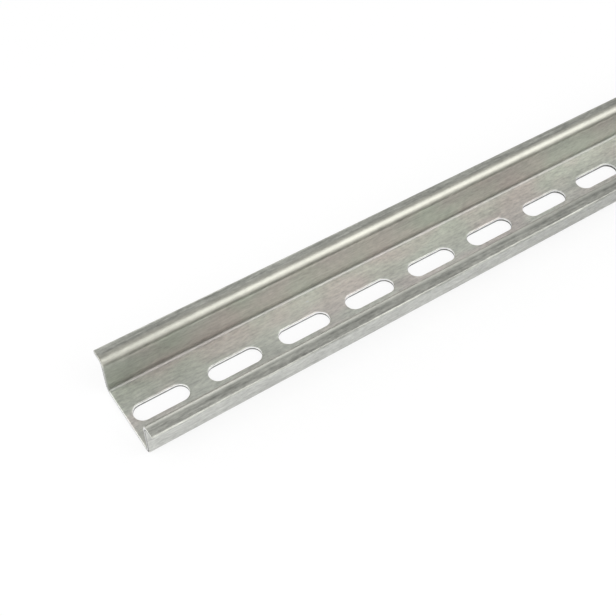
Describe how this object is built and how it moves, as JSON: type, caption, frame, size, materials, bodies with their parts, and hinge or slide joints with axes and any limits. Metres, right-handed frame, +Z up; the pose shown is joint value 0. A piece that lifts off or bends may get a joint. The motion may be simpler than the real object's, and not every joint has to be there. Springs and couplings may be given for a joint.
{
  "type": "slotted top-hat mounting rail",
  "caption": "Straight steel mounting rail of top-hat section, lying on its web, with rounded screw slots along the web and a flange along each top edge.",
  "frame": {"origin": "centre of the underside of the web, midway between the two cut ends", "axes": "+X along the rail, +Y across it, +Z up out of the open side of the hat"},
  "size_m": [0.3, 0.035, 0.015],
  "materials": {
    "zinc_plated_steel": "satin zinc-plated steel with fine rolling lines along its length"
  },
  "bodies": {
    "root": {"rail": "zinc_plated_steel"}
  },
  "joints": []
}
